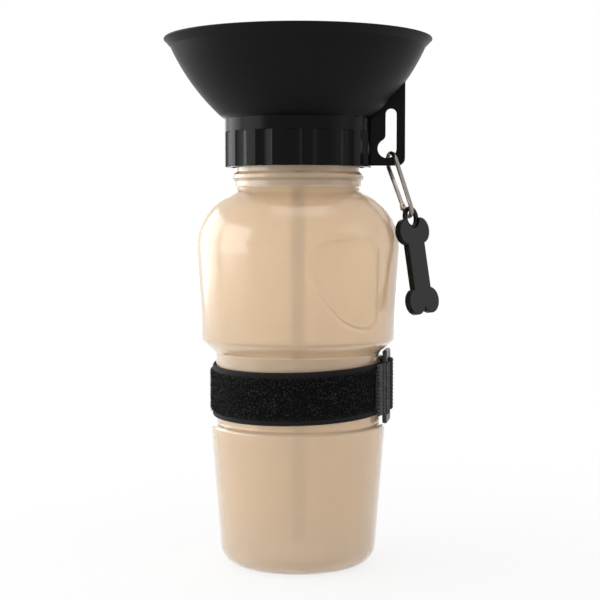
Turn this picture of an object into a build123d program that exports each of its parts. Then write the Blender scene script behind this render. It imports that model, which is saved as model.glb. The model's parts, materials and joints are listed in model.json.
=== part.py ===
import os
from math import asin, atan2, cos, degrees, radians, sin

from build123d import *

# Dog travel water bottle, 20 fl oz, with a drinking bowl as its cap.
# Millimetres. Z is up, the bottle's axis is x = y = 0 and it stands on z = 0.
# The side that the photograph shows faces -Y, and the lug is on the right, +X.

# ---- bottle ----
base_radius = 31.3  # where the lower cup's wall line meets the floor
base_corner = 7.6
pushup_height = 1.6
pushup_radius = 19.0
pushup_slope = 3.0
cup_height = 57.8
cup_top_radius = 35.8
cup_edge = 1.5
waist_radius = 33.6
waist_height = 28.8
flare_height = 5.3
belly_radius = 39.35  # foot of the upper body's wall
belly_edge = 2.2
shoulder_radius = 43.1  # where the wall line and the shoulder line would meet
shoulder_height = 53.8  # above the belly's foot
shoulder_round = 26.0
throat_radius = 26.3  # neck below the bead
throat_rise = 7.95
throat_length = 2.65
bottle_wall = 1.2
neck_radius = 25.5
neck_wall = 1.8
bead_radius = 27.3
bead_height = 1.3
bead_slope = 1.2
neck_length = 25.0  # throat's foot to the lip

# ---- squeeze dents ----
dent_azimuth = 27.5  # from the front, towards the lug
dent_count = 2
dent_width = 31.5
dent_head = 11.3  # from the shoulder's corner down to the dent's top
dent_toe = 5.0  # from the belly's foot up to the dent's lowest point
dent_slant_width = 17.5  # the lower left corner is cut off by this much
dent_slant_height = 19.0
dent_depth = 2.0
dent_floor_radius = 90.0

# ---- thread between the neck and the cap ----
thread_pitch = 5.0
thread_turns = 1.5
thread_start = 11.75  # above the throat's foot, the middle of the thread's first turn
thread_depth = 1.2
thread_root = 2.3
thread_crest = 1.0
thread_play = 0.3
thread_sink = 0.3  # how far each thread's root lies inside its wall

# ---- cap ----
cap_facing = -4.3  # the lug is screwed round this far from +X
gasket_thickness = 1.5
gasket_inner_radius = 22.5
collar_radius = 29.75
collar_clearance = 0.4  # between the neck's thread and the collar's bore
collar_skirt = 18.4  # from the cap's ceiling down
flute_count = 16
flute_depth = 1.2
flute_width = 8.2
flute_height = 14.1
ceiling_thickness = 2.4
bowl_foot_rise = 0.8  # above the ceiling
bowl_height = 29.1  # from there to the rim's foot
bowl_mid_rise = 15.0
bowl_bulge = 2.4  # how far the wall swells out from a straight cone there
bowl_rim_radius = 51.6
bowl_wall = 2.2
rim_overhang = 2.65
rim_height = 3.45
rim_edge = 1.0  # height of the rounded edge
rim_lip_inset = 1.0  # inside the wall's end, where the lip meets the bowl's inside
rim_lip_fall = 0.9
floor_radius = 28.25
floor_fall = 0.6

# ---- valve and straw ----
post_radius = 6.4
port_radius = 4.0
port_length = 9.5
socket_length = 13.0
straw_radius = 2.75
straw_wall = 0.6
straw_foot = 8.0  # above the table
press_gap = 0.02
knob_radius = 8.0
knob_height = 4.6
knob_seat = 0.8  # clear of the floor
knob_edge = 2.2
knob_crown = 0.4
knob_flat = 3.0
stem_clearance = 0.25
ring_section = 1.4
fin_thickness = 1.0
fin_width = 6.6
fin_foot = 0.3  # clear of the straw's end
fin_turn = 30.0

# ---- lug ----
lug_thickness = 3.0
lug_reach = 43.5
lug_drop = 17.8  # from the ceiling to the bar's underside
slot_left = 35.6
slot_width = 4.4
slot_rise = 3.0  # ceiling to the slot's round top centre
hole_drop = 10.9
hole_radius = 3.8
lug_root = 28.0
lug_edge = 0.6
lug_corner = 3.0
slot_throat = 2.5  # round where the slot opens into the hole

# ---- snap clip ----
wire_radius = 0.9
clip_width = 8.8  # between wire centres, across the upper bend
foot_width = 7.0  # across the lower bend
clip_length = 27.8
clip_lean = (7.8, -9.4, -24.4)
clip_yaw = 20.0
clip_hang = (0.8, 0.6)  # wire's centre beyond the hole's, and its clearance above the bar
clip_shift = 1.1  # to the rear, square to the lug
nose_length = 5.0
gate_gap = 0.15
pivot_rise = 1.6  # above the end of the lower bend
rivet_radius = 0.45
rivet_play = 0.03
tongue_thickness = 0.7
tongue_length = 1.5
tongue_root = 0.4
fork_play = 0.08
fork_width = 1.7
fork_room = 0.35  # past the tongue's round end
fork_root = 0.6
rivet_head = 0.72
rivet_head_thickness = 0.25
rivet_seat = 0.02
leaf_thickness = 0.3
leaf_width = 0.5
leaf_length = 6.8
leaf_play = 0.1

# ---- bone tag ----
tag_yaw = 40.0
tag_axis = (0.139, -0.056, -0.989)
tag_thickness = 3.2
eye_thickness = 1.2
eye_width = 4.4
eye_height = 6.0
eye_wall = 1.2
eye_play = 1.2
eye_joint = 0.4  # how far the eye's rim reaches into the bone
lobe_offset = 3.8
lobe_width = 4.4
lobe_height = 5.2
shank_width = 9.2
top_lobe = 6.3
bone_length = 28.2  # between lobe centres
tag_edge = 0.5

# ---- strap ----
strap_height = 21.0
strap_middle = 14.7  # above the waist's foot
strap_back_rise = 2.0
strap_right_rise = 1.6
strap_gap = 0.35
webbing = 1.1
pile_thickness = 0.45
pile_height = 16.0
pile_start = -118.0
pile_end = 63.0
hook_thickness = 0.9
ring_azimuth = 80.0
ring_width = 14.0
ring_height = 29.6
ring_thickness = 1.8
ring_bar = 2.7
ring_cross_bar = 3.4
ring_gap = 0.55
ring_corner = 1.6
ring_edge = 0.5
fold_radius = 1.9
fold_gap = 0.1
bar_room = 0.6  # past the ring's edge, where the webbing turns down
tail_split = 7.2  # from the ring's middle, where the free end starts to lift
tail_rest = 0.7  # flat before it bends
tail_bend = 1.3
tail_knee = 15.0  # degrees in front of the ring
tail_end = 20.5
hook_gap = 0.15
hook_inset = 0.6
sewn_start = 20.0  # degrees behind the ring
sewn_end = 38.0
sewn_bend = 1.5
stitch_length = 2.0
stitch_width = 0.5
stitch_height = 0.25
stitch_pitch = 3.4
stitch_inset = 0.7
stitch_seat = 0.05

os.makedirs("parts", exist_ok=True)


def write(builder, name):
    builder.part.label = name
    export_step(builder.part, f"parts/{name}.step")


# Heights that several pieces share
waist_foot = cup_height
belly_foot = waist_foot + waist_height + flare_height
throat_foot = belly_foot + shoulder_height + throat_rise
lip = throat_foot + neck_length
ceiling = lip + gasket_thickness

# ======== bottle ========
outline = [
    (0, pushup_height),
    (pushup_radius, pushup_height),
    (pushup_radius + pushup_slope, 0),
    (base_radius, 0),
    (cup_top_radius, cup_height),
    (waist_radius, cup_height),
    (waist_radius, waist_foot + waist_height),
    (belly_radius, belly_foot),
    (shoulder_radius, belly_foot + shoulder_height),
    (throat_radius, throat_foot),
    (throat_radius, throat_foot + throat_length),
]
outline_rounds = [2.0, 2.0, base_corner, cup_edge, 0.7, 0.9, belly_edge, shoulder_round, 1.2]

bead_foot = throat_foot + throat_length - 0.3
neck_outline = [
    (neck_radius - neck_wall, throat_foot + 0.4),
    (throat_radius, throat_foot + 0.4),
    (throat_radius, bead_foot),
    (bead_radius, bead_foot + bead_slope),
    (bead_radius, bead_foot + bead_slope + bead_height),
    (neck_radius, bead_foot + 2 * bead_slope + bead_height),
    (neck_radius, lip),
    (neck_radius - neck_wall, lip),
]

# The dents keep the wall's thickness: each is a bump inside and a hollow outside.
dent_tilt = atan2(shoulder_radius - belly_radius, shoulder_height)
dent_height = shoulder_height - dent_head - dent_toe
dent_middle = belly_foot + dent_toe + dent_height / 2
belly_at_dent = belly_radius + (dent_middle - belly_foot) * (shoulder_radius - belly_radius) / shoulder_height
dent_outline = [
    (-dent_width / 2, dent_height / 2),
    (dent_width / 2 - 0.5, dent_height / 2),
    (dent_width / 2, -dent_height / 2 + 1.2),
    (dent_slant_width - dent_width / 2, -dent_height / 2),
    (-dent_width / 2, dent_slant_height - dent_height / 2),
]
dent_rounds = [12.0, 7.5, 4.5, 6.0, 9.0]


def dent_block(azimuth, grow, depth):
    """Prism over a dent's outline, standing on the dent's flattened floor."""
    middle = Plane(
        origin=(0, 0, dent_middle),
        x_dir=(cos(radians(azimuth)), sin(radians(azimuth)), 0),
        z_dir=(sin(radians(azimuth)), -cos(radians(azimuth)), 0),
    )
    with BuildPart() as block:
        with BuildSketch(middle.offset(belly_at_dent / 2)):
            with BuildLine():
                FilletPolyline(*dent_outline, radius=dent_rounds, close=True)
            make_face()
            if grow:
                offset(amount=grow)
        extrude(amount=belly_at_dent)
        floor_middle = middle.offset(belly_at_dent - depth - dent_floor_radius).origin
        wall_line = middle.z_dir * sin(dent_tilt) + Vector(0, 0, cos(dent_tilt))
        with BuildSketch(Plane(floor_middle, x_dir=middle.x_dir, z_dir=wall_line)):
            Circle(dent_floor_radius)
        extrude(amount=dent_height, both=True, mode=Mode.SUBTRACT)
    return block.part


def thread(radius, depth, height, turns):
    """Trapezoid thread ridge whose crest stands depth out of radius, or in if depth is negative."""
    sink = thread_sink if depth > 0 else -thread_sink
    with BuildPart() as ridge:
        with BuildLine():
            Helix(pitch=thread_pitch, height=thread_pitch * turns, radius=radius, center=(0, 0, height))
        with BuildSketch(Plane((0, 0, height), x_dir=(1, 0, 0), z_dir=(0, -1, 0))):
            with BuildLine():
                Polyline(
                    (radius - sink, -thread_root / 2),
                    (radius + depth, -thread_crest / 2),
                    (radius + depth, thread_crest / 2),
                    (radius - sink, thread_root / 2),
                    close=True,
                )
            make_face()
        sweep(is_frenet=True)
    return ridge.part


with BuildPart() as filled_bottle:
    with BuildSketch(Plane.XZ):
        with BuildLine():
            body_line = FilletPolyline(*outline, radius=outline_rounds)
            Polyline(body_line @ 1, (0, outline[-1][1]), body_line @ 0)
        make_face()
    revolve(axis=Axis.Z)

male_start = throat_foot + thread_start
with BuildPart() as squeeze_bottle:
    with BuildSketch(Plane.XZ):
        with BuildLine():
            FilletPolyline(*outline, radius=outline_rounds)
            offset(amount=bottle_wall, side=Side.LEFT)
        make_face()
    revolve(axis=Axis.Z)
    with BuildSketch(Plane.XZ):
        with BuildLine():
            Polyline(*neck_outline, close=True)
        make_face()
    revolve(axis=Axis.Z)
    for index in range(dent_count):
        azimuth = dent_azimuth + index * 360 / dent_count
        add(dent_block(azimuth, bottle_wall, dent_depth + bottle_wall).intersect(filled_bottle.part))
        add(dent_block(azimuth, 0, dent_depth), mode=Mode.SUBTRACT)
    add(thread(neck_radius, thread_depth, male_start, thread_turns))
write(squeeze_bottle, "squeeze_bottle")

# ======== cap: bowl, collar, socket and lug in one moulding ========
collar_foot = ceiling - collar_skirt
collar_bore = neck_radius + thread_depth + collar_clearance
bowl_floor = ceiling + ceiling_thickness
bowl_foot = ceiling + bowl_foot_rise
rim_foot = bowl_foot + bowl_height
rim_top = rim_foot + rim_height
rim_radius = bowl_rim_radius + rim_overhang
post_foot = ceiling - port_length - socket_length
female_depth = thread_depth - (collar_clearance - thread_sink) * 2
half_flanks = (thread_root + thread_crest) / 2
female_start = male_start - half_flanks - thread_play

cone_slope = (bowl_rim_radius - collar_radius) / bowl_height
bowl_mid_radius = collar_radius + bowl_mid_rise * cone_slope + bowl_bulge
bowl_middle = (bowl_mid_radius, bowl_foot + bowl_mid_rise)
flute_circle = ((flute_width / 2) ** 2 + flute_depth**2) / (2 * flute_depth)
lug_plane = Plane.XZ.rotated((0, 0, cap_facing))

# The hole touches the line of the slot's outer side.
bar_bottom = ceiling - lug_drop
hole_centre = ceiling - hole_drop
hole_offset = slot_left + slot_width - hole_radius
slot_top = ceiling + slot_rise
lug_top = bowl_foot + bowl_mid_rise
with BuildPart() as lug:
    with BuildSketch(lug_plane):
        with BuildLine():
            Polyline(
                (lug_root, bar_bottom),
                (lug_reach, bar_bottom),
                (lug_reach, lug_top),
                (bowl_mid_radius - 1.5 * bowl_wall, lug_top - bowl_wall),
                (collar_radius + bowl_wall / 3, bowl_foot + bowl_wall / 3),
                (lug_root, bowl_foot),
                close=True,
            )
        make_face()
        with Locations((hole_offset, hole_centre)):
            Circle(hole_radius, mode=Mode.SUBTRACT)
        with Locations((slot_left + slot_width / 2, (slot_top + hole_centre) / 2)):
            Rectangle(slot_width, slot_top - hole_centre, mode=Mode.SUBTRACT)
        with Locations((slot_left + slot_width / 2, slot_top)):
            Circle(slot_width / 2, mode=Mode.SUBTRACT)
        fillet((vertices() << Axis.Y).sort_by(Axis.X)[-1], lug_corner)
        slot_side = vertices().filter_by_position(Axis.X, slot_left - 0.01, slot_left + 0.01)
        fillet(slot_side.sort_by(Axis.Y)[0], slot_throat)
    extrude(amount=lug_thickness / 2, both=True)
    rims = faces().filter_by(Axis(lug_plane.origin, lug_plane.z_dir)).edges()
    rims = rims.filter_by(lambda edge: lug_plane.to_local_coords(edge.center()).X > collar_radius + lug_edge)
    square = rims.filter_by(Axis(lug_plane.origin, lug_plane.x_dir)) + rims.filter_by(Axis.Z)
    fillet(rims.filter_by(GeomType.CIRCLE) + square, lug_edge)

with BuildPart() as bowl_cap:
    with BuildSketch(Plane.XZ):
        with BuildLine():
            wall = ThreePointArc((collar_radius, bowl_foot), bowl_middle, (bowl_rim_radius, rim_foot))
            flare = Line(wall @ 1, (rim_radius - rim_edge / 3, rim_top - rim_edge))
            edge_end = (rim_radius - rim_edge / 2, rim_top)
            over = ThreePointArc(flare @ 1, (rim_radius, rim_top - rim_edge / 2), edge_end)
            lip_edge = Line(over @ 1, (bowl_rim_radius - rim_lip_inset, rim_top - rim_lip_fall))
            inner_middle = (bowl_mid_radius - bowl_wall * 0.8, bowl_foot + bowl_mid_rise + bowl_wall * 0.6)
            inner = ThreePointArc(lip_edge @ 1, inner_middle, (floor_radius, bowl_floor))
            Polyline(inner @ 1, (port_radius, bowl_floor - floor_fall), (port_radius, ceiling))
            Polyline((port_radius, ceiling), (collar_bore, ceiling), (collar_bore, collar_foot))
            Polyline((collar_bore, collar_foot), (collar_radius, collar_foot), wall @ 0)
        make_face()
    revolve(axis=Axis.Z)
    with BuildSketch(Plane.XY.offset(post_foot)):
        Circle(post_radius)
        Circle(straw_radius + press_gap, mode=Mode.SUBTRACT)
    extrude(amount=socket_length)
    with BuildSketch(Plane.XY.offset(post_foot + socket_length)):
        Circle(post_radius)
        Circle(port_radius, mode=Mode.SUBTRACT)
    extrude(amount=port_length)
    with BuildSketch(Plane.XY.offset(collar_foot)):
        with PolarLocations(collar_radius - flute_depth + flute_circle, flute_count, start_angle=cap_facing):
            Circle(flute_circle)
    extrude(amount=flute_height, mode=Mode.SUBTRACT)
    add(lug.part)
    add(thread(collar_bore, -female_depth, female_start, thread_turns))
write(bowl_cap, "bowl_cap")

# ---- gasket under the ceiling, on the neck's lip ----
with BuildPart() as cap_gasket:
    with BuildSketch(Plane.XY.offset(lip)):
        Circle(neck_radius + thread_depth)
        Circle(gasket_inner_radius, mode=Mode.SUBTRACT)
    extrude(amount=gasket_thickness)
write(cap_gasket, "cap_gasket")

# ---- straw, pressed into the socket ----
with BuildPart() as dip_straw:
    with BuildSketch(Plane.XY.offset(straw_foot)):
        Circle(straw_radius)
        Circle(straw_radius - straw_wall, mode=Mode.SUBTRACT)
    extrude(amount=post_foot + socket_length - straw_foot)
    foot_ring = faces().sort_by(Axis.Z)[0].edges()
    chamfer(foot_ring, straw_wall / 3)
write(dip_straw, "dip_straw")

# ---- stopper that is pulled up to let the water through ----
seat = bowl_floor - floor_fall
stem_radius = port_radius - stem_clearance
stem_foot = seat - 4 * ring_section
ring_middle = seat - 2 * ring_section
groove_floor = port_radius - ring_section
knob_foot = seat + knob_seat
knob_neck = (knob_radius - knob_edge / 2, knob_foot)
with BuildPart() as spout_valve:
    with BuildSketch(Plane.XZ):
        with BuildLine():
            stem = Polyline(
                (0, stem_foot),
                (stem_radius, stem_foot),
                (stem_radius, ring_middle - ring_section / 2),
                (groove_floor, ring_middle - ring_section / 2),
                (groove_floor, ring_middle + ring_section / 2),
                (stem_radius, ring_middle + ring_section / 2),
                (stem_radius, knob_foot),
                knob_neck,
            )
            edge = ThreePointArc(
                knob_neck,
                (knob_radius, knob_foot + knob_edge / 2),
                (knob_radius - knob_edge / 2, knob_foot + knob_edge),
            )
            crown_middle = ((knob_radius + knob_flat) / 2, seat + knob_height - knob_crown)
            crown = ThreePointArc(edge @ 1, crown_middle, (knob_flat, seat + knob_height))
            Polyline(crown @ 1, (0, seat + knob_height), stem @ 0)
        make_face()
    revolve(axis=Axis.Z)
    fins_foot = post_foot + socket_length + fin_foot
    with BuildSketch(Plane.XY.offset(fins_foot)):
        Rectangle(fin_width, fin_thickness, rotation=fin_turn)
        Rectangle(fin_thickness, fin_width, rotation=fin_turn)
    extrude(amount=stem_foot - fins_foot)
write(spout_valve, "spout_valve")

with BuildPart() as valve_o_ring:
    with BuildSketch(Plane.XZ):
        with Locations((port_radius - ring_section / 2 - press_gap, ring_middle)):
            Circle(ring_section / 2 - press_gap)
    revolve(axis=Axis.Z)
write(valve_o_ring, "valve_o_ring")

# ======== snap clip ========
hang_radius, hang_clearance = clip_hang
hang_height = hole_centre - cos(asin(hang_radius / hole_radius)) * hole_radius + wire_radius + hang_clearance
hang_point = lug_plane.from_local_coords((hole_offset + hang_radius, hang_height, -clip_shift))
clip_down = Vector(*clip_lean).normalized()
yaw_side = Vector(-sin(radians(clip_yaw)), cos(radians(clip_yaw)), 0)
clip_side = (yaw_side - clip_down * yaw_side.dot(clip_down)).normalized()
clip_plane = Plane(origin=hang_point, x_dir=clip_side, z_dir=clip_side.cross(-clip_down))

# Both long sides touch the two bends. The gate's side has a plane of its own, x = 0 being the wire.
half_clip = clip_width / 2
half_foot = foot_width / 2
bend_distance = clip_length - half_clip - half_foot
taper = asin((half_clip - half_foot) / bend_distance)
side_length = bend_distance * cos(taper)
side_top = (half_clip * cos(taper), -half_clip * (1 + sin(taper)))
side_foot = (half_foot * cos(taper), half_foot * (1 - sin(taper)) - clip_length)
gate_plane = Plane(
    origin=clip_plane.from_local_coords(side_top),
    x_dir=clip_plane.x_dir * cos(taper) - clip_plane.y_dir * sin(taper),
    z_dir=clip_plane.z_dir,
)
pivot_y = pivot_rise - side_length
nose_end = (side_top[0] - nose_length * sin(taper), side_top[1] - nose_length * cos(taper))
stub_length = pivot_rise - tongue_length + tongue_root
stub_end = (side_foot[0] + stub_length * sin(taper), side_foot[1] + stub_length * cos(taper))

with BuildPart() as clip_body:
    with BuildLine(clip_plane):
        nose = Line(nose_end, side_top)
        ThreePointArc(side_top, (0, 0), (-side_top[0], side_top[1]))
        Line((-side_top[0], side_top[1]), (-side_foot[0], side_foot[1]))
        ThreePointArc((-side_foot[0], side_foot[1]), (0, -clip_length), side_foot)
        Line(side_foot, stub_end)
    with BuildSketch(Plane(nose @ 0, x_dir=clip_plane.z_dir, z_dir=nose % 0)):
        Circle(wire_radius)
    sweep()
    with BuildSketch(gate_plane):
        with Locations((0, pivot_y - tongue_length / 2)):
            Rectangle(2 * wire_radius, tongue_length)
        with Locations((0, pivot_y)):
            Circle(wire_radius)
    extrude(amount=tongue_thickness / 2, both=True)
    with BuildSketch(gate_plane):
        with Locations((0, pivot_y)):
            Circle(rivet_radius + rivet_play)
    extrude(amount=wire_radius, both=True, mode=Mode.SUBTRACT)
write(clip_body, "clip_body")

gate_top = -nose_length - gate_gap
fork_depth = pivot_y + wire_radius + fork_room
fork_gap = tongue_thickness / 2 + fork_play
with BuildPart() as clip_gate:
    gate_foot = gate_plane.from_local_coords((0, fork_depth, 0))
    with BuildSketch(Plane(gate_foot, x_dir=gate_plane.x_dir, z_dir=gate_plane.y_dir)):
        Circle(wire_radius)
    extrude(amount=gate_top - fork_depth)
    with BuildSketch(gate_plane):
        with Locations((0, (pivot_y + fork_depth + fork_root) / 2)):
            Rectangle(fork_width, fork_depth + fork_root - pivot_y)
        with Locations((0, pivot_y)):
            Circle(fork_width / 2)
    extrude(amount=wire_radius, both=True)
    with BuildSketch(gate_plane):
        with Locations((0, pivot_y - wire_radius)):
            Rectangle(4 * wire_radius, 2 * (fork_depth - pivot_y + wire_radius))
    extrude(amount=fork_gap, both=True, mode=Mode.SUBTRACT)
    with BuildSketch(gate_plane):
        with Locations((0, pivot_y)):
            Circle(rivet_radius + rivet_play)
    extrude(amount=2 * wire_radius, both=True, mode=Mode.SUBTRACT)
    with BuildSketch(gate_plane):
        with Locations((-wire_radius, fork_depth + leaf_length / 2)):
            Rectangle(2 * (leaf_thickness + leaf_play), leaf_length + 2 * leaf_play)
    extrude(amount=(leaf_width + leaf_play) / 2, both=True, mode=Mode.SUBTRACT)
write(clip_gate, "clip_gate")

with BuildPart() as clip_rivet:
    with BuildSketch(gate_plane):
        with Locations((0, pivot_y)):
            Circle(rivet_radius)
    extrude(amount=wire_radius + rivet_seat, both=True)
    for side in (-1, 1):
        with BuildSketch(gate_plane.offset(side * (wire_radius + rivet_seat))):
            with Locations((0, pivot_y)):
                Circle(rivet_head)
        extrude(amount=side * rivet_head_thickness)
write(clip_rivet, "clip_rivet")

with BuildPart() as gate_spring:
    with BuildSketch(gate_plane):
        with Locations((-wire_radius + leaf_thickness / 2 + leaf_play / 2, fork_depth + leaf_length / 2)):
            Rectangle(leaf_thickness, leaf_length)
    extrude(amount=leaf_width / 2, both=True)
write(gate_spring, "gate_spring")

# ======== bone tag ========
clip_foot = clip_plane.from_local_coords((0, -clip_length, 0))
tag_down = Vector(*tag_axis).normalized()
face_side = Vector(sin(radians(tag_yaw)), -cos(radians(tag_yaw)), 0)
tag_face = (face_side - tag_down * face_side.dot(tag_down)).normalized()
tag_plane = Plane(origin=clip_foot, x_dir=(-tag_down).cross(tag_face), z_dir=tag_face)
eye_centre = wire_radius + eye_play - eye_height / 2
eye_outline = (eye_width / 2 + eye_wall, eye_height / 2 + eye_wall)

with BuildPart() as bone_tag:
    with BuildSketch(tag_plane):
        with Locations((0, -top_lobe - bone_length / 2)):
            Rectangle(shank_width, bone_length)
        for row in (-top_lobe, -top_lobe - bone_length):
            with Locations((-lobe_offset, row), (lobe_offset, row)):
                Ellipse(lobe_width, lobe_height)
        with Locations((0, eye_centre)):
            Ellipse(*eye_outline, mode=Mode.SUBTRACT)
    extrude(amount=tag_thickness / 2, both=True)
    rims = faces().filter_by(Axis(clip_foot, tag_face)).edges()
    fillet(rims, tag_edge)
    with BuildSketch(tag_plane):
        with Locations((0, eye_centre)):
            Ellipse(eye_outline[0] + eye_joint, eye_outline[1] + eye_joint)
            Ellipse(eye_width / 2, eye_height / 2, mode=Mode.SUBTRACT)
    extrude(amount=eye_thickness / 2, both=True)
write(bone_tag, "bone_tag")

# ======== strap ========
# Azimuths run from the front, -Y, towards the right, +X. The strap's two edges lie in slanted planes.
strap_plane = Plane(origin=(0, 0, waist_foot + strap_middle)).rotated((strap_back_rise, -strap_right_rise, 0))
band_inner = waist_radius + strap_gap
band_middle = band_inner + webbing / 2
band_outer = band_inner + webbing
pile_outer = band_outer + pile_thickness
ring_inner_face = band_outer + ring_gap
ring_outer_face = ring_inner_face + ring_thickness

# Both ends of the band leave its circle and fold round a bar of the ring.
bar_edge = ring_width / 2 - ring_bar
fold_centre_radius = band_middle + fold_radius
fold_turn = degrees(asin((bar_edge - fold_gap) / fold_centre_radius))
fold_centre_t = bar_edge - fold_gap
fold_centre_d = fold_centre_radius * cos(radians(fold_turn))
flat_inner = fold_centre_d + fold_radius - webbing / 2


def ring_side(t, d):
    """Point t along the ring's face from its middle, to the rear, and d out from the axis."""
    turn = radians(ring_azimuth)
    return (d * sin(turn) + t * cos(turn), -d * cos(turn) + t * sin(turn))


def beyond_ring(turn, radius):
    """Point on a radius, some degrees past the ring's middle, to the rear."""
    return ring_side(radius * sin(radians(turn)), radius * cos(radians(turn)))


def on_strap(azimuth, radius, height):
    """Point on an upright wall round the axis, a height above the strap's slanted middle."""
    x = radius * sin(radians(azimuth))
    y = -radius * cos(radians(azimuth))
    slant = strap_plane.z_dir
    return (x, y, strap_plane.origin.Z + height - (slant.X * x + slant.Y * y) / slant.Z)


def cut_to_strap(outline, height):
    """Upright wall over a closed outline, between the strap's slanted edges."""
    with BuildPart() as wall:
        with BuildSketch(Plane.XY.offset(waist_foot)):
            with BuildLine():
                add(outline)
            make_face()
        extrude(amount=2 * strap_middle)
        with BuildSketch(strap_plane):
            Circle(2 * band_outer)
        extrude(amount=height / 2, both=True, mode=Mode.INTERSECT)
    return wall.part


def strip(inner_face, bend, thickness, height):
    """Strip whose inner face follows a line from the rear to the front, with rounded bends."""
    with BuildLine() as outline:
        if len(inner_face) > 2:
            FilletPolyline(*inner_face, radius=bend)
        else:
            Polyline(*inner_face)
        offset(amount=thickness, side=Side.LEFT)
    return cut_to_strap(outline.line, height)


def curved_strip(centre, inner_radius, start, size, thickness, height):
    """Strip along an arc, from start degrees on."""
    with BuildLine() as outline:
        inner = CenterArc(centre, inner_radius, start, size)
        outer = CenterArc(centre, inner_radius + thickness, start, size)
        Line(inner @ 0, outer @ 0)
        Line(inner @ 1, outer @ 1)
    return cut_to_strap(outline.line, height)


# ---- webbing: front end folded back over the ring's bar, rear end sewn down behind it ----
outward = ring_azimuth - 90
fold_inner = fold_radius - webbing / 2
fold_size = 180 - fold_turn
band_size = 360 - 2 * fold_turn
with BuildPart() as strap_webbing:
    add(curved_strip((0, 0), band_inner, outward + fold_turn, band_size, webbing, strap_height))
    for side in (-1, 1):
        fold_centre = ring_side(side * fold_centre_t, fold_centre_d)
        add(curved_strip(fold_centre, fold_inner, outward, -side * fold_size, webbing, strap_height))
    over_front_bar = [ring_side(-fold_centre_t, flat_inner), ring_side(-tail_split, flat_inner)]
    add(strip(over_front_bar, 0, webbing, strap_height))
    sewn_line = [
        beyond_ring(sewn_start, band_outer),
        ring_side(ring_width / 2 + bar_room, flat_inner),
        ring_side(fold_centre_t, flat_inner),
    ]
    add(strip(sewn_line, sewn_bend, webbing, strap_height))
    sewn_size = sewn_end - sewn_start
    add(curved_strip((0, 0), band_outer, outward + sewn_start, sewn_size, webbing, strap_height))
write(strap_webbing, "strap_webbing")

# ---- free end of the webbing, held down by hooks on its inner side ----
pile_radius = pile_outer + hook_gap
tail_line = [
    ring_side(-tail_split, flat_inner),
    ring_side(-tail_split - tail_rest, flat_inner),
    beyond_ring(-tail_knee, pile_radius + hook_thickness),
    beyond_ring(-tail_end, pile_radius + hook_thickness),
]
with BuildPart() as strap_tail:
    add(strip(tail_line, tail_bend, webbing, strap_height))
write(strap_tail, "strap_tail")

with BuildPart() as strap_hook_tape:
    knee, tip = Vector(tail_line[-2]), Vector(tail_line[-1])
    along = (tip - knee).normalized()
    inward = Vector(along.Y, -along.X) * hook_thickness
    hook_line = [knee + along * hook_inset + inward, tip + inward]
    add(strip(hook_line, 0, hook_thickness, pile_height))
write(strap_hook_tape, "strap_hook_tape")

with BuildPart() as strap_loop_pile:
    pile_size = pile_end - pile_start
    add(curved_strip((0, 0), band_outer, pile_start - 90, pile_size, pile_thickness, pile_height))
write(strap_loop_pile, "strap_loop_pile")

# ---- ring ----
turn = radians(ring_azimuth)
ring_plane = Plane(
    origin=on_strap(ring_azimuth, ring_inner_face, 0),
    x_dir=(cos(turn), sin(turn), 0),
    z_dir=(sin(turn), -cos(turn), 0),
)
with BuildPart() as strap_ring:
    with BuildSketch(ring_plane):
        RectangleRounded(ring_width, ring_height, ring_corner)
        Rectangle(2 * bar_edge, ring_height - 2 * ring_cross_bar, mode=Mode.SUBTRACT)
    extrude(amount=ring_thickness)
    fillet(faces().filter_by(Axis(ring_plane.origin, ring_plane.z_dir)).edges(), ring_edge)
write(strap_ring, "strap_ring")

# ---- stitches beside the pile and on the sewn end ----
with BuildPart() as strap_stitches:
    pitch_turn = degrees(stitch_pitch / pile_outer)
    rows = [
        (pile_outer, pile_start, pile_size, pile_height / 2 - stitch_inset),
        (band_outer + webbing, ring_azimuth + sewn_start, sewn_size, strap_height / 2 - stitch_inset * 2),
    ]
    for radius, start, size, height in rows:
        for index in range(int(size / pitch_turn)):
            azimuth = start + (index + 0.5) * pitch_turn
            turn = radians(azimuth)
            for side in (-1, 1):
                stitch_plane = Plane(
                    origin=on_strap(azimuth, radius, side * height),
                    x_dir=(cos(turn), sin(turn), 0),
                    z_dir=(sin(turn), -cos(turn), 0),
                )
                with BuildSketch(stitch_plane.offset(stitch_seat)):
                    Rectangle(stitch_length, stitch_width)
                extrude(amount=stitch_height)
write(strap_stitches, "strap_stitches")
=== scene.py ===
import json
from math import asin, ceil, cos, degrees, pi, radians, sin, sqrt, tan

import bmesh
import bpy
import numpy as np
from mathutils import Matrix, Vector


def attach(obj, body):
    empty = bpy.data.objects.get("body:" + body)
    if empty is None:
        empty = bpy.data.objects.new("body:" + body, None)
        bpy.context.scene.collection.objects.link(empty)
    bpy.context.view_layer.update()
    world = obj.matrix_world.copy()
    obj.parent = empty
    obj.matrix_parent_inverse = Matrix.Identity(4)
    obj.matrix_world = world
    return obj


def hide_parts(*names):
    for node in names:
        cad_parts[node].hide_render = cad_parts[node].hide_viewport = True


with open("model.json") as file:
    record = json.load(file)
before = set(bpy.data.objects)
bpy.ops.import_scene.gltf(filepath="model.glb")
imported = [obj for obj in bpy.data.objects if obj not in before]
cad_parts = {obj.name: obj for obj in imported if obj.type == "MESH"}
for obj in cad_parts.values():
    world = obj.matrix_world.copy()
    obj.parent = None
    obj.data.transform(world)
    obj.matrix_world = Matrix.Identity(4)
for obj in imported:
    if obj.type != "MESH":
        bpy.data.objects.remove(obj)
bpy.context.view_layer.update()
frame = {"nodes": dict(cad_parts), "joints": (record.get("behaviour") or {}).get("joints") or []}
nodes = frame["nodes"]
scene = bpy.context.scene
scene.view_settings.view_transform = "Standard"
mm = 0.001  # sizes below are in millimetres, Blender's are in metres
print("frame loaded:", len(nodes), "nodes")


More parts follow.
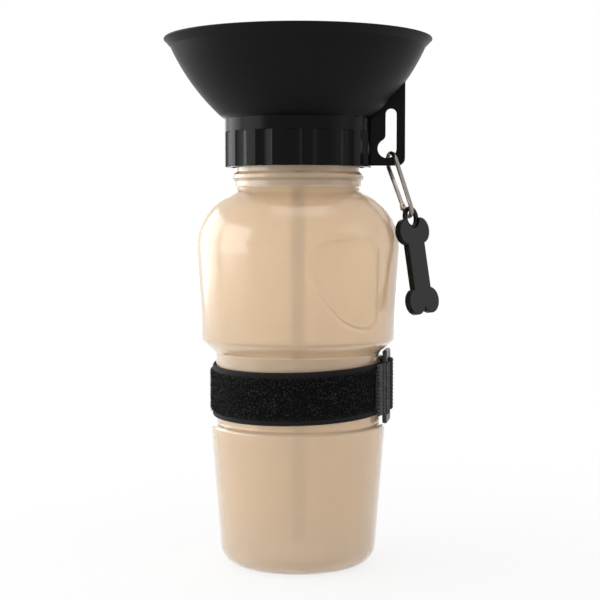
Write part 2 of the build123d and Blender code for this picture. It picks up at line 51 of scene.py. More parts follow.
class Value:
    # a socket that takes part in plain arithmetic
    def __init__(self, builder, socket):
        self.builder = builder
        self.socket = socket

    def maths(self, operation, *terms):
        made = self.builder.node("ShaderNodeMath", {"operation": operation}, dict(enumerate(terms)))
        return Value(self.builder, made.outputs[0])

    def __add__(self, other):
        return self.maths("ADD", self, other)

    def __sub__(self, other):
        return self.maths("SUBTRACT", self, other)

    def __rsub__(self, other):
        return self.maths("SUBTRACT", other, self)

    def __mul__(self, other):
        return self.maths("MULTIPLY", self, other)

    def __truediv__(self, other):
        return self.maths("DIVIDE", self, other)

    def __rtruediv__(self, other):
        return self.maths("DIVIDE", other, self)

    def __abs__(self):
        return self.maths("ABSOLUTE", self)

    def sine(self):
        return self.maths("SINE", self)

    __radd__ = __add__
    __rmul__ = __mul__


class Builder:
    # makes and joins the nodes of one tree
    def __init__(self, tree):
        self.tree = tree
        tree.nodes.clear()

    def node(self, kind, settings=None, sockets=None):
        made = self.tree.nodes.new(kind)
        for key, value in (settings or {}).items():
            setattr(made, key, value)
        for key, value in (sockets or {}).items():
            self.feed(made.inputs[key], value)
        return made

    def feed(self, socket, value):
        if isinstance(value, Value):
            value = value.socket
        if isinstance(value, bpy.types.NodeSocket):
            self.tree.links.new(value, socket)
        else:
            socket.default_value = value

    def value(self, socket):
        return Value(self, socket)


class Finish(Builder):
    # one material with a Principled surface; sockets holds what is the same all over it
    def __init__(self, name, sockets=None):
        self.material = bpy.data.materials.new(name)
        self.material.use_nodes = True
        super().__init__(self.material.node_tree)
        self.surface = self.node("ShaderNodeBsdfPrincipled", None, sockets)
        self.output = self.node("ShaderNodeOutputMaterial", None, {"Surface": self.surface.outputs[0]})
        coordinates = self.node("ShaderNodeTexCoord")
        self.place = coordinates.outputs["Object"]
        self.chart = coordinates.outputs["UV"]

    def give(self, socket, value):
        self.feed(self.surface.inputs[socket], value)

    def axes(self, where=None):
        split = self.node("ShaderNodeSeparateXYZ", None, {0: where or self.place})
        return [self.value(socket) for socket in split.outputs]

    def noise(self, scale, detail=2.0, stretch=None):
        # grain between 0 and 1, drawn out along an axis where its stretch is below 1
        where = self.place
        if stretch:
            where = self.node("ShaderNodeMapping", None, {"Vector": where, "Scale": stretch}).outputs[0]
        made = self.node("ShaderNodeTexNoise", None, {"Vector": where, "Scale": scale, "Detail": detail})
        return self.value(made.outputs[0])

    def between(self, value, low, high):
        # 0 below low, 1 above high, smooth in between
        made = self.node(
            "ShaderNodeMapRange",
            {"interpolation_type": "SMOOTHSTEP"},
            {"Value": value, "From Min": low, "From Max": high},
        )
        return self.value(made.outputs[0])

    def mix(self, mask, first, second):
        # Mix's colour sockets are its inputs 6 and 7 and its output 2
        first = (*first, 1) if isinstance(first, tuple) else first
        second = (*second, 1) if isinstance(second, tuple) else second
        made = self.node("ShaderNodeMix", {"data_type": "RGBA"}, {0: mask, 6: first, 7: second})
        return made.outputs[2]

    def bump(self, height, depth, strength):
        sockets = {"Height": height, "Distance": depth * mm, "Strength": strength}
        self.give("Normal", self.node("ShaderNodeBump", None, sockets).outputs[0])


class Tree(Builder):
    # one Geometry Nodes tree with named inputs
    def __init__(self, name, inputs):
        super().__init__(bpy.data.node_groups.new(name, "GeometryNodeTree"))
        sockets = self.tree.interface
        sockets.new_socket("Geometry", in_out="INPUT", socket_type="NodeSocketGeometry")
        self.keys = {}
        for label, value in inputs.items():
            kind = "NodeSocketInt" if isinstance(value, int) else "NodeSocketFloat"
            made = sockets.new_socket(label, in_out="INPUT", socket_type=kind)
            made.default_value = value
            self.keys[label] = made.identifier
        made = sockets.new_socket("Material", in_out="INPUT", socket_type="NodeSocketMaterial")
        self.keys["Material"] = made.identifier
        sockets.new_socket("Geometry", in_out="OUTPUT", socket_type="NodeSocketGeometry")
        self.start = self.node("NodeGroupInput")

    def number(self, label):
        return self.value(self.start.outputs[label])

    def vector(self, x, y, z):
        return self.node("ShaderNodeCombineXYZ", None, {0: x, 1: y, 2: z}).outputs[0]

    def close(self, geometry):
        real = self.node("GeometryNodeRealizeInstances", None, {0: geometry})
        sockets = {"Geometry": real.outputs[0], "Material": self.start.outputs["Material"]}
        painted = self.node("GeometryNodeSetMaterial", None, sockets)
        self.node("NodeGroupOutput", None, {"Geometry": painted.outputs[0]})

    def grow(self, piece, finish, **inputs):
        # the piece keeps what the tree makes of it as a plain mesh
        modifier = piece.modifiers.new(self.tree.name, "NODES")
        modifier.node_group = self.tree
        for label, value in inputs.items():
            modifier[self.keys[label]] = value
        modifier[self.keys["Material"]] = finish.material
        made = piece.evaluated_get(bpy.context.evaluated_depsgraph_get())
        piece.data = bpy.data.meshes.new_from_object(made)
        piece.modifiers.clear()


def grey(level):
    return (level, level, level)


def darker(color, share):
    return tuple(channel * share for channel in color)


def roundedLine(points, rounds, closed=False, arcSteps=7):
    # corners become arcs of the given radii; an open line keeps its two ends
    points = [Vector(p) for p in points]
    count = len(points)
    line = [] if closed else [points[0]]
    corners = range(count) if closed else range(1, count - 1)
    for corner, radius in zip(corners, rounds):
        here = points[corner]
        back = (points[corner - 1] - here).normalized()
        ahead = (points[(corner + 1) % count] - here).normalized()
        half = back.angle(ahead) / 2
        reach = radius / tan(half)
        middle = here + (back + ahead).normalized() * (radius / sin(half))
        start = here + back * reach - middle
        end = here + ahead * reach - middle
        sweep = start.angle(end)
        for step in range(arcSteps + 1):
            share = step / arcSteps
            turned = start * sin((1 - share) * sweep) + end * sin(share * sweep)
            line.append(middle + turned / sin(sweep))
    if not closed:
        line.append(points[-1])
    return [tuple(p) for p in line]


def refined(line, longest):
    # no step of the line stays longer than the given length
    result = [line[0]]
    for start, end in zip(line, line[1:]):
        steps = max(1, ceil((Vector(end) - Vector(start)).length / longest))
        result += [tuple(Vector(start).lerp(Vector(end), (k + 1) / steps)) for k in range(steps)]
    return result


def meshPiece(name, verts, faces, finish, smooth=True):
    data = bpy.data.meshes.new(name)
    data.from_pydata([tuple(v) for v in verts], [], faces)
    data.validate()
    shape = bmesh.new()
    shape.from_mesh(data)
    bmesh.ops.remove_doubles(shape, verts=shape.verts, dist=0.0001 * mm)
    bmesh.ops.recalc_face_normals(shape, faces=shape.faces)
    shape.to_mesh(data)
    shape.free()
    for polygon in data.polygons:
        polygon.use_smooth = smooth
    piece = bpy.data.objects.new(name, data)
    scene.collection.objects.link(piece)
    data.materials.append(finish.material)
    return piece


def gridFaces(rows, columns, wrapColumns=True):
    faces = []
    for r in range(rows - 1):
        for c in range(columns if wrapColumns else columns - 1):
            here = r * columns + c
            beside = r * columns + (c + 1) % columns
            faces.append((here, beside, beside + columns, here + columns))
    return faces


# corners are radius and height, from the middle of the base to the lip
bottleShape = {
    "cup": [(0, 1.6), (19, 1.6), (22, 0), (31.3, 0), (35.8, 57.8), (33.6, 57.8), (33.6, 86.6)],
    "belly": [(39.35, 91.9), (43.1, 145.7)],
    "neck": [(26.3, 153.65), (26.3, 156.0), (27.3, 157.2), (27.3, 158.6), (25.5, 159.7), (25.5, 178.65)],
    "rounds": [2.0, 2.0, 7.6, 1.5, 0.7, 0.9, 2.2, 26.0, 1.2, 0.6, 0.6, 0.6, 0.4],
    "wall": 1.2,
    "shoulderTop": 152.0,  # the inner face follows the outer one up to here
    "boreFoot": 153.8,
    "bore": 23.7,
    "fineRows": (96.0, 125.0, 136.0),  # close rows on the straight side, then on the shoulder
    "sideStep": 0.55,
    "shoulderStep": 0.6,
    "rowStep": 4.0,  # the longest step elsewhere
    "fineColumns": 0.75,  # degrees between columns over a dent
    "columns": 2.25,  # and elsewhere
}

# the thumb dents, from a dent's middle: across to the right and up
dentShape = {
    "azimuths": [27.5, 207.5],
    "middle": 115.65,
    "outline": [(-15.75, 18.75), (15.25, 18.75), (15.75, -17.55), (1.75, -18.75), (-15.75, 0.25)],
    "rounds": [12.0, 7.5, 4.5, 20.0, 16.0],
    "arcSteps": 10,
    "depth": 2.0,
    "floor": 90.0,  # radius of the flattened floor
    "softness": 1.5,
    "crease": 0.12,  # height of the crease round the dent
    "creaseWidth": 0.8,
    "creaseOut": 0.3,  # its place outside the outline
    "heights": (92, 140),  # the wall stays plain outside these
    "halfTurn": 27,  # degrees of fine columns to each side of the middle
}

threadShape = {
    "start": 165.4,
    "pitch": 5.0,
    "turns": 1.5,
    "foot": 25.2,
    "crest": 26.7,
    "footHalf": 1.15,  # half of its width at the foot
    "crestHalf": 0.5,
    "fade": 1 / 12,  # the share of its length in which an end rises from the neck
    "lowest": 0.05,  # the share of its height that is left at the very ends
    "steps": 150,
}


def bellyRadius(height):
    (foot, footHeight), (top, topHeight) = bottleShape["belly"]
    return foot + (height - footHeight) * (top - foot) / (topHeight - footHeight)


def dentDepths(radii, heights, azimuth):
    # how far each point of the wall moves in for one dent
    outline = np.array(roundedLine(dentShape["outline"], dentShape["rounds"], True, dentShape["arcSteps"]))
    ahead = np.roll(outline, -1, axis=0) - outline
    lengths = np.hypot(*ahead.T)
    keep = lengths > 1e-4
    inward = np.stack([ahead[:, 1], -ahead[:, 0]], axis=1)[keep] / lengths[keep, None]
    across = radii * np.sin(azimuth)
    points = np.stack([across, heights - dentShape["middle"]], axis=-1)
    inside = np.full(radii.shape, np.inf)
    for corner, normal in zip(outline[keep], inward):
        inside = np.minimum(inside, (points - corner) @ normal)
    flat = bellyRadius(heights) - dentShape["depth"]
    floor = (flat - across**2 / (2 * dentShape["floor"])) / np.cos(azimuth)
    depth = np.maximum(radii - floor, 0)
    share = np.clip(inside / dentShape["softness"], 0, 1)
    share = share * share * (3 - 2 * share)
    past = (inside + dentShape["creaseOut"]) / dentShape["creaseWidth"]
    crease = np.exp(-(past**2)) * dentShape["crease"]
    facing = np.cos(azimuth) > 0.5  # the far side of the bottle isn't this dent's
    return np.where(facing, depth * share - crease, 0)


def bottleGrid(line, azimuths, inset):
    # the line is turned round the axis; inset is how far it lies inside the outer face
    turns, radii = np.meshgrid(azimuths, [radius for radius, height in line])
    heights = np.meshgrid(azimuths, [height for radius, height in line])[1]
    low, high = dentShape["heights"]
    drop = sum(dentDepths(radii + inset, heights, turns - radians(a)) for a in dentShape["azimuths"])
    radii = radii - np.where((heights > low) & (heights < high), drop, 0)
    return np.stack([radii * np.sin(turns), -radii * np.cos(turns), heights], axis=-1)


def bottleColumns():
    columns = []
    for degree in np.arange(0, 360, bottleShape["fineColumns"]):
        near = min(abs((degree - a + 180) % 360 - 180) for a in dentShape["azimuths"])
        if near < dentShape["halfTurn"] or degree % bottleShape["columns"] == 0:
            columns.append(radians(degree))
    return np.array(columns)


def outerLine():
    # the point on the axis is left out, because a hub closes the base
    shape = bottleShape
    corners = shape["cup"] + shape["belly"] + shape["neck"]
    outer = refined(roundedLine(corners, shape["rounds"]), shape["rowStep"])
    low, straight, high = shape["fineRows"]
    side = [(bellyRadius(height), height) for height in np.arange(low, straight, shape["sideStep"])]
    shoulder = refined([side[-1]] + [p for p in outer if straight <= p[1] <= high], shape["shoulderStep"])
    return [p for p in outer[1:] if p[1] < low] + side + shoulder[1:] + [p for p in outer if p[1] > high]


def innerLine(outer):
    # every other point of the outer face moved in by the wall, then the plain bore of the neck
    shape = bottleShape
    points = [Vector(p) for p in outer]
    inner = []
    for k in range(0, len(points) - 1, 2):
        ahead = points[k + 1] - points[max(k - 1, 0)]
        normal = Vector((-ahead.y, ahead.x)).normalized()
        if points[k].y < shape["shoulderTop"]:
            inner.append(tuple(points[k] + normal * shape["wall"]))
    return inner + [(shape["bore"], shape["boreFoot"]), (shape["bore"], shape["neck"][-1][1])]


def buildBottle(finish):
    outer = outerLine()
    inner = innerLine(outer)
    azimuths = bottleColumns()
    inset = bottleShape["wall"]
    grid = np.concatenate([bottleGrid(outer, azimuths, 0), bottleGrid(inner[::-1], azimuths, inset)])
    rows, count = grid.shape[:2]
    verts = list(grid.reshape(-1, 3) * mm)
    faces = gridFaces(rows, count)
    for ring, height in ((0, bottleShape["cup"][0][1]), (rows - 1, inner[0][1])):
        verts.append((0, 0, height * mm))
        hub = len(verts) - 1
        faces += [(ring * count + c, ring * count + (c + 1) % count, hub) for c in range(count)]
    return meshPiece("bottleShell", verts, faces, finish)


def buildThread(finish):
    shape = threadShape
    steps = shape["steps"]
    foot, crest = shape["foot"], shape["crest"]
    wide, narrow = shape["footHalf"], shape["crestHalf"]
    section = [(foot, -wide), (crest, -narrow), (crest, narrow), (foot, wide)]
    verts = []
    for k in range(steps + 1):
        share = k / steps
        turn = 2 * pi * shape["turns"] * share
        rise = shape["start"] + shape["pitch"] * shape["turns"] * share
        fade = max(shape["lowest"], min(1, share / shape["fade"], (1 - share) / shape["fade"]))
        for radius, height in section:
            out = foot + (radius - foot) * fade
            verts.append((out * cos(turn) * mm, out * sin(turn) * mm, (rise + height) * mm))
    corners = len(section)
    faces = gridFaces(steps + 1, corners)
    faces += [tuple(range(corners)), tuple(steps * corners + k for k in range(corners))]
    return meshPiece("neckThread", verts, faces, finish, smooth=False)


bottleLook = {
    "sockets": {"Transmission Weight": 0.6, "IOR": 1.35, "Coat Weight": 0.8, "Coat Roughness": 0.13},
    "deepTan": (0.895, 0.72, 0.52),
    "paleTan": (0.935, 0.77, 0.57),
    "cloudScale": 14,
    "foot": (0.85, 0.71, 0.55),
    "footHeight": 30,
    "roughness": 0.18,
    "grainRoughness": 0.06,
    "grainScale": 900,
    "waveScale": 35,
    "waveDepth": 0.4,
    "waveStrength": 0.25,
}


def plasticOfBottle():
    look = bottleLook
    finish = Finish("tanTranslucentPlastic", look["sockets"])
    height = finish.axes()[2]
    aboveFoot = finish.between(height, 0.0, look["footHeight"] * mm)
    clouded = finish.mix(finish.noise(look["cloudScale"], detail=3), look["deepTan"], look["paleTan"])
    finish.give("Base Color", finish.mix(aboveFoot, look["foot"], clouded))
    grain = finish.noise(look["grainScale"])
    finish.give("Roughness", look["roughness"] + grain * look["grainRoughness"])
    finish.bump(finish.noise(look["waveScale"]), look["waveDepth"], look["waveStrength"])
    return finish


tanPlastic = plasticOfBottle()
bottle = buildBottle(tanPlastic)
neckThread = buildThread(tanPlastic)
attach(bottle, "bottle")
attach(neckThread, "bottle")
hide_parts("squeeze_bottle")
print("bottle:", len(bottle.data.polygons), "faces")


capLook = {
    "sockets": {"Specular IOR Level": 0.09},
    "bowlFoot": (181, 183),  # the glossy collar turns into the satin bowl between these heights
    "collar": (0.002, 0.002, 0.0025),
    "bowl": (0.005, 0.005, 0.006),
    "roughness": 0.2,
    "bowlRoughness": 0.25,
    "grainRoughness": 0.08,
    "grainScale": 1500,
    "grainDepth": 0.12,
    "grainStrength": 0.5,
}


def blackOfCap():
    look = capLook
    finish = Finish("blackMouldedPlastic", look["sockets"])
    low, high = look["bowlFoot"]
    bowl = finish.between(finish.axes()[2], low * mm, high * mm)
    grain = finish.noise(look["grainScale"])
    rough = look["roughness"] + bowl * look["bowlRoughness"] + grain * look["grainRoughness"]
    finish.give("Roughness", rough)
    finish.give("Base Color", finish.mix(bowl, look["collar"], look["bowl"]))
    finish.bump(grain * bowl, look["grainDepth"], look["grainStrength"])
    return finish


metalLook = {
    "streakScale": 600,
    "streakStretch": (1, 1, 0.08),
    "streakRoughness": 0.12,
    "streakShade": 0.9,
    "grainScale": 1200,
    "grainDepth": 0.03,
    "grainStrength": 0.4,
}


def metal(name, color, roughness):
    look = metalLook
    finish = Finish(name, {"Metallic": 1.0})
    streak = finish.noise(look["streakScale"], detail=3, stretch=look["streakStretch"])
    finish.give("Roughness", roughness + streak * look["streakRoughness"])
    finish.give("Base Color", finish.mix(streak, darker(color, look["streakShade"]), color))
    finish.bump(finish.noise(look["grainScale"]), look["grainDepth"], look["grainStrength"])
    return finish


plainLook = {"grainRoughness": 0.1, "grainShade": 0.85, "grainDepth": 0.04, "grainStrength": 0.4}


def plain(name, color, roughness, grainScale, sockets=None):
    look = plainLook
    finish = Finish(name, sockets)
    grain = finish.noise(grainScale)
    finish.give("Roughness", roughness + grain * look["grainRoughness"])
    finish.give("Base Color", finish.mix(grain, darker(color, look["grainShade"]), color))
    finish.bump(grain, look["grainDepth"], look["grainStrength"])
    return finish


tagLook = {
    "sockets": {"Specular IOR Level": 0.2},
    "thickness": 3.2,
    "faceDepth": (0.12, 0.04),  # the grey begins this far below the face and is full here
    "face": grey(0.03),
    "side": grey(0.004),
    "roughness": 0.42,
    "faceRoughness": 0.1,
    "grainRoughness": 0.08,
    "grainScale": 1800,
    "grainDepth": 0.05,
    "grainStrength": 0.4,
}


def paintOfTag():
    # a grey face on a black body; the face lies square to the tag swing's axis
    look = tagLook
    joint = next(j for j in frame["joints"] if j["name"] == "tag_swing")
    normal = Vector(joint["axis"])
    middle = Vector(joint["pos_m"]).dot(normal)
    finish = Finish("blackTag", look["sockets"])
    made = finish.node("ShaderNodeVectorMath", {"operation": "DOT_PRODUCT"}, {0: finish.place, 1: normal})
    out = abs(finish.value(made.outputs["Value"]) - middle)
    start, full = ((look["thickness"] / 2 - depth) * mm for depth in look["faceDepth"])
    face = finish.between(out, start, full)
    grain = finish.noise(look["grainScale"])
    finish.give("Base Color", finish.mix(face, look["side"], look["face"]))
    rough = look["roughness"] + face * look["faceRoughness"] + grain * look["grainRoughness"]
    finish.give("Roughness", rough)
    finish.bump(grain, look["grainDepth"], look["grainStrength"])
    return finish


# finish: colour, roughness and the nodes that wear it
metals = {
    "nickelPlate": ((0.30, 0.27, 0.24), 0.22, ["clip_body"]),
    "brightNickelPlate": ((0.52, 0.48, 0.45), 0.2, ["clip_gate"]),
    "plainSteel": ((0.36, 0.34, 0.32), 0.3, ["clip_rivet", "gate_spring"]),
}

# finish: colour, roughness, grain scale, other sockets and the nodes that wear it
plastics = {
    "glossyBlackPlastic": ((0.012, 0.012, 0.013), 0.2, 700, {}, ["spout_valve"]),
    "sealRubber": (grey(0.02), 0.55, 700, {}, ["valve_o_ring"]),
    "siliconeRubber": ((0.62, 0.62, 0.58), 0.45, 500, {}, ["cap_gasket"]),
    "milkyStraw": ((0.95, 0.93, 0.86), 0.3, 400, {"Transmission Weight": 0.8, "IOR": 1.2}, ["dip_straw"]),
    "blackRingPlastic": (grey(0.010), 0.38, 900, {}, ["strap_ring"]),
}


def dress(finish, names):
    for name in names:
        data = nodes[name].data
        data.materials.clear()
        data.materials.append(finish.material)


dress(blackOfCap(), ["bowl_cap"])
dress(paintOfTag(), ["bone_tag"])
for name, (*look, wearers) in metals.items():
    dress(metal(name, *look), wearers)
for name, (*look, wearers) in plastics.items():
    dress(plain(name, *look), wearers)
print("CAD pieces dressed")


def ribTree():
    # ribs along a strip, one for each pitch of its attribute up
    made = Tree("ribs", {"Pitch": 1.0, "Depth": 0.1})
    up = made.node("GeometryNodeInputNamedAttribute", {"data_type": "FLOAT"}, {"Name": "up"})
    wave = (made.value(up.outputs[0]) * (2 * pi) / made.number("Pitch")).sine()
    drop = (wave - 1) * made.number("Depth") * (mm / 2)
    normal = made.node("GeometryNodeInputNormal").outputs[0]
    offset = made.node("ShaderNodeVectorMath", {"operation": "SCALE"}, {0: normal, "Scale": drop})
    sockets = {"Geometry": made.start.outputs["Geometry"], "Offset": offset.outputs[0]}
    made.close(made.node("GeometryNodeSetPosition", None, sockets).outputs[0])
    return made


def fibreTree():
    # bent fibres that stand on a surface at random; Count is for a square millimetre
    inputs = {"Count": 4.0, "Length": 0.8, "Thickness": 0.05, "Bend": 0.6, "Lean": 0.6}
    inputs |= {"Shortest": 0.5, "Longest": 1.3, "Seed": 3}
    made = Tree("fibres", inputs)
    surface = made.start.outputs["Geometry"]
    sockets = {"Mesh": surface, "Density": made.number("Count") * 1e6, "Seed": made.number("Seed")}
    points = made.node("GeometryNodeDistributePointsOnFaces", None, sockets)
    length = made.number("Length") * mm
    sockets = {
        "Resolution": 3, "Start": (0, 0, 0),
        "Middle": made.vector(0, 0, length), "End": made.vector(length * made.number("Bend"), 0, length),
    }
    line = made.node("GeometryNodeCurveQuadraticBezier", None, sockets)
    sockets = {"Resolution": 3, "Radius": made.number("Thickness") * mm}
    section = made.node("GeometryNodeCurvePrimitiveCircle", None, sockets)
    sockets = {"Curve": line.outputs[0], "Profile Curve": section.outputs[0], "Fill Caps": True}
    fibre = made.node("GeometryNodeCurveToMesh", None, sockets)
    lean = made.number("Lean")
    sockets = {0: made.vector(0 - lean, 0 - lean, 0), 1: made.vector(lean, lean, 2 * pi)}
    angles = made.node("FunctionNodeRandomValue", {"data_type": "FLOAT_VECTOR"}, sockets)
    turn = made.node("FunctionNodeEulerToRotation", None, {0: angles.outputs[0]})
    sockets = {"Rotation": points.outputs["Rotation"], "Rotate By": turn.outputs[0]}
    rotation = made.node("FunctionNodeRotateRotation", {"rotation_space": "LOCAL"}, sockets)
    sockets = {2: made.number("Shortest"), 3: made.number("Longest"), "Seed": 5}
    size = made.node("FunctionNodeRandomValue", {"data_type": "FLOAT"}, sockets)
    sockets = {
        "Points": points.outputs["Points"], "Instance": fibre.outputs[0],
        "Rotation": rotation.outputs[0], "Scale": size.outputs[1],
    }
    fibres = made.node("GeometryNodeInstanceOnPoints", None, sockets)
    joined = made.node("GeometryNodeJoinGeometry")
    for socket in (surface, fibres.outputs[0]):
        made.feed(joined.inputs[0], socket)
    made.close(joined.outputs[0])
    return made


def stitchTree():
    # a stitch at each step along a line of edges, a round grain drawn out along the line
    made = Tree("stitches", {"Pitch": 3.4, "Length": 2.0, "Thickness": 0.4})
    line = made.node("GeometryNodeMeshToCurve", None, {0: made.start.outputs["Geometry"]})
    sockets = {"Curve": line.outputs[0], "Length": made.number("Pitch") * mm}
    steps = made.node("GeometryNodeResampleCurve", {"mode": "LENGTH"}, sockets)
    grain = made.node("GeometryNodeMeshUVSphere", None, {"Segments": 8, "Rings": 6, "Radius": 0.5 * mm})
    tangent = made.node("GeometryNodeInputTangent").outputs[0]
    turn = made.node("FunctionNodeAlignRotationToVector", {"axis": "X"}, {"Vector": tangent})
    thickness = made.number("Thickness")
    sockets = {
        "Points": steps.outputs[0], "Instance": grain.outputs[0], "Rotation": turn.outputs[0],
        "Scale": made.vector(made.number("Length"), thickness, thickness),
    }
    made.close(made.node("GeometryNodeInstanceOnPoints", None, sockets).outputs[0])
    return made


# radii are from the bottle's axis; turns are degrees round it from the middle of the ring
strapShape = {
    "middle": 72.5,
    "backRise": 2.0,  # slant of the whole strap, in degrees
    "rightRise": 1.6,
    "height": 21.0,
    "thickness": 1.1,
    "rows": 96,
    "edgeSteps": 6,  # over a rounded edge
    "radius": 34.5,
    "ringAzimuth": 80.0,
    "foldSide": 4.2,  # from the middle of the ring to the centre of a fold
    "foldRadius": 1.9,
    "tailSplit": 7.2,  # the tail goes on from the webbing here
    "sewnBend": 7.67,  # the sewn end bends here, comes down to the band, lies on it and ends
    "sewnTurns": (19, 23, 38),
    "sewnLift": 0.1,
    "sewnRounds": [2.05, 4.0],
    "foldSteps": 16,
    "bandSteps": 180,
    "sewnSteps": 13,
    "step": 0.8,  # no step along the webbing is longer
    "ribs": {"Pitch": 1.5, "Depth": 0.22},
}

tailShape = {"bend": 7.97, "turns": (15, 20.5), "radius": 37.1, "rounds": [0.6, 1.3], "step": 0.3}

pileShape = {
    "turns": (-118, 63),  # from the front, and not from the ring
    "turnStep": 1.5,
    "height": 16.0,
    "foot": 35.0,
    "face": 35.45,
    "edge": (0.1, 0.3),  # its rounded edge, out from the axis and up
    "fibres": {"Count": 5.0, "Length": 0.55, "Thickness": 0.045},
}

hookShape = {
    "radius": 36.1,
    "start": 0.2,  # share of the way from the tail's bend to its tip
    "thickness": 0.85,
    "step": 0.5,
    "finish": ("hookPlastic", grey(0.02), 0.5, 900),
    "fibres": {"Count": 2.2, "Length": 0.7, "Thickness": 0.07, "Lean": 0.1},
}

stitchShape = {
    "pitch": 3.4,
    "pileRadius": 35.5,
    "pileHeight": 7.4,  # above and below the middle of the strap
    "pileSteps": 130,
    "sewnRadius": 36.2,
    "sewnHeight": 9.1,
    "sewnTurns": (20, 38),
    "sewnSteps": 24,
    "finish": ("blackThread", grey(0.008), 0.8, 900, {"Specular IOR Level": 0.2}),
}

foldReach = strapShape["radius"] + strapShape["foldRadius"]  # a fold touches the band
foldOut = sqrt(foldReach**2 - strapShape["foldSide"] ** 2)
foldTurn = degrees(asin(strapShape["foldSide"] / foldReach))
flatOut = foldOut + strapShape["foldRadius"]  # the webbing lies flat over the ring


def ringSide(side, out):
    # side along the face of the ring, out from the axis
    turn = radians(strapShape["ringAzimuth"])
    return (out * sin(turn) + side * cos(turn), side * sin(turn) - out * cos(turn))


def beyondRing(turn, radius):
    turn = radians(turn)
    return ringSide(radius * sin(turn), radius * cos(turn))


def fromFront(azimuth, radius):
    return (radius * sin(azimuth), -radius * cos(azimuth))


def onStrap(x, y, height):
    # a point over (x, y), a height above the slanted middle
    rise = x * tan(radians(strapShape["rightRise"])) + y * tan(radians(strapShape["backRise"]))
    return Vector((x, y, strapShape["middle"] + rise + height)) * mm


def foldLine(side):
    # round one bar of the ring, from the flat to the band
    radius = strapShape["foldRadius"]
    points = []
    for angle in np.radians(np.linspace(0, 180 - foldTurn, strapShape["foldSteps"] + 1)):
        across = strapShape["foldSide"] - radius * sin(angle)
        points.append(ringSide(side * across, foldOut + radius * cos(angle)))
    return points


def webbingLine():
    # from the tail over one bar, round the bottle, over the other bar and down to the sewn end
    shape = strapShape
    line = [ringSide(-shape["tailSplit"], flatOut)] + foldLine(-1)
    first = shape["ringAzimuth"] - foldTurn
    last = shape["ringAzimuth"] + foldTurn - 360
    azimuths = np.radians(np.linspace(first, last, shape["bandSteps"] + 1)[1:-1])
    line += [fromFront(azimuth, shape["radius"]) for azimuth in azimuths]
    line += foldLine(1)[::-1]
    down, lying, end = shape["sewnTurns"]
    sewn = shape["radius"] + shape["thickness"]
    corners = [
        line[-1], ringSide(shape["sewnBend"], flatOut),
        beyondRing(down, sewn + shape["sewnLift"]), beyondRing(lying, sewn),
    ]
    line += roundedLine(corners, shape["sewnRounds"])[1:]
    line += [beyondRing(turn, sewn) for turn in np.linspace(lying, end, shape["sewnSteps"] + 1)[1:]]
    return line


def tailLine():
    shape = tailShape
    knee, tip = (beyondRing(-turn, shape["radius"]) for turn in shape["turns"])
    corners = [ringSide(-strapShape["tailSplit"], flatOut), ringSide(-shape["bend"], flatOut), knee, tip]
    return roundedLine(corners, shape["rounds"])


def hookLine():
    knee, tip = (Vector(beyondRing(-turn, hookShape["radius"])) for turn in tailShape["turns"])
    return [tuple(knee.lerp(tip, hookShape["start"])), tuple(tip)]


def ribbon(name, line, height, thickness, finish, step):
    # an upright strip along a line, with rounded edges, an attribute up and a chart in metres
    path = np.array(refined(line, step))
    ahead = np.gradient(path, axis=0)
    ahead /= np.hypot(*ahead.T)[:, None]
    side = np.stack([ahead[:, 1], -ahead[:, 0]], axis=1)
    half, deep = height / 2, thickness / 2
    climb = np.linspace(deep - half, half - deep, strapShape["rows"] + 1)
    bends = np.linspace(0, pi, strapShape["edgeSteps"] + 1)[1:-1]
    section = [(deep, h, h) for h in climb]
    section += [(deep * cos(b), half - deep + deep * sin(b), half - deep) for b in bends]
    section += [(-deep, h, h) for h in climb[::-1]]
    section += [(-deep * cos(b), deep - half - deep * sin(b), deep - half) for b in bends]
    verts, ups = [], []
    for here, out in zip(path, side):
        for across, rise, up in section:
            x, y = here + out * across
            verts.append(onStrap(x, y, rise))
            ups.append(up)
    columns = len(section)
    faces = gridFaces(len(path), columns)
    for end in (0, (len(path) - 1) * columns):
        faces.append(tuple(end + k for k in range(columns)))
    piece = meshPiece(name, verts, faces, finish)
    travelled = np.concatenate([[0], np.cumsum(np.hypot(*np.diff(path, axis=0).T))])
    along = np.repeat(travelled, columns)
    piece.data.attributes.new("up", "FLOAT", "POINT").data.foreach_set("value", ups)
    chart = piece.data.uv_layers.new(name="chart")
    for loop in piece.data.loops:
        chart.data[loop.index].uv = (along[loop.vertex_index] * mm, ups[loop.vertex_index] * mm)
    return piece


def pilePatch(finish):
    # the pile's outer face with its sides, open towards the webbing
    shape = pileShape
    foot, face, half = shape["foot"], shape["face"], shape["height"] / 2
    fall, rise = shape["edge"]
    first, last = shape["turns"]
    azimuths = np.radians(np.arange(first, last + 0.1, shape["turnStep"]))
    section = [(foot, -half), (face - fall, -half), (face, rise - half), (face, 0)]
    section += [(face, half - rise), (face - fall, half), (foot, half)]
    verts = [onStrap(*fromFront(a, radius), height) for a in azimuths for radius, height in section]
    faces = [corners[::-1] for corners in gridFaces(len(azimuths), len(section), wrapColumns=False)]
    return meshPiece("loopPile", verts, faces, finish)


